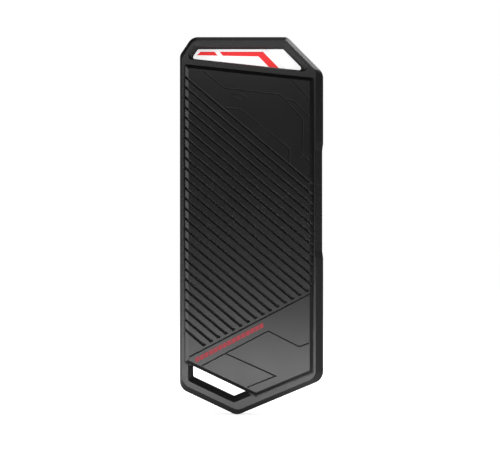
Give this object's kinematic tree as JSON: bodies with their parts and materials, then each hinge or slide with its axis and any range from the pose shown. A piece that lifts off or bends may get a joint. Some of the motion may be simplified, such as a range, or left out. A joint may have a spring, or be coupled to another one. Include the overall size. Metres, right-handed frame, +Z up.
{
  "type": "portable solid state drive",
  "caption": "Slim pocket drive: a five-sided ribbed metal case with an M.2 module inside, held in a rubber bumper with a window at each end.",
  "frame": {"origin": "centre of the bumper's bounding box", "axes": "+Z up the length towards the upper window, +X across, the ribbed face looks towards -Y"},
  "size_m": [0.0524, 0.0104, 0.138],
  "materials": {
    "bumper_rubber": "satin",
    "case_metal": "satin",
    "printed_card": "matte",
    "frame_plastic": "matte",
    "label_film": "matte",
    "circuit_board": "satin",
    "chip_package": "matte",
    "steel_can": "satin",
    "ferrite": "matte",
    "capacitor_ceramic": "satin",
    "connector_plastic": "matte",
    "contact_gold": "bright",
    "clear_plastic": "gloss",
    "led_resin": "gloss",
    "thermal_pad": "matte",
    "post_brass": "satin",
    "latch_plastic": "satin",
    "slider_plastic": "satin",
    "screw_steel": "satin"
  },
  "bodies": {
    "case": {"bumper": "bumper_rubber", "front_cover": "case_metal", "window_insert": "printed_card", "back_cover": "case_metal", "back_label": "label_film", "inner_frame": "frame_plastic", "main_board": "circuit_board", "bridge_chip": "chip_package", "bridge_crystal": "steel_can", "power_inductors": "ferrite", "board_capacitors": "capacitor_ceramic", "m2_socket": "connector_plastic", "socket_contacts": "contact_gold", "usb_c_shell": "steel_can", "usb_c_tongue": "connector_plastic", "usb_c_contacts": "contact_gold", "status_led": "led_resin", "light_guide": "clear_plastic", "ssd_board": "circuit_board", "ssd_edge_contacts": "contact_gold", "ssd_controller": "chip_package", "ssd_memory_chips": "chip_package", "ssd_cache_chip": "chip_package", "ssd_power_chip": "chip_package", "ssd_capacitors": "capacitor_ceramic", "latch_post": "post_brass", "thermal_pad_front": "thermal_pad", "thermal_pad_back": "thermal_pad", "assembly_screws": "screw_steel", "release_spring": "steel_can"},
    "retainer": {"retainer_latch": "latch_plastic"},
    "release": {"release_slider": "slider_plastic"}
  },
  "joints": [
    {"name": "retainer_turn", "type": "hinge", "parent": "case", "child": "retainer", "pos_m": [-0.001, -0.00155, 0.044], "axis": [0, -1, 0], "range_deg": [0, 90]},
    {"name": "release_push", "type": "slide", "parent": "case", "child": "release", "axis": [-0.3827, 0, 0.9239], "range_m": [0, 0.0013], "stiffness_N_per_m": 60, "springref_m": -0.002, "deforming": ["release_spring"]}
  ]
}
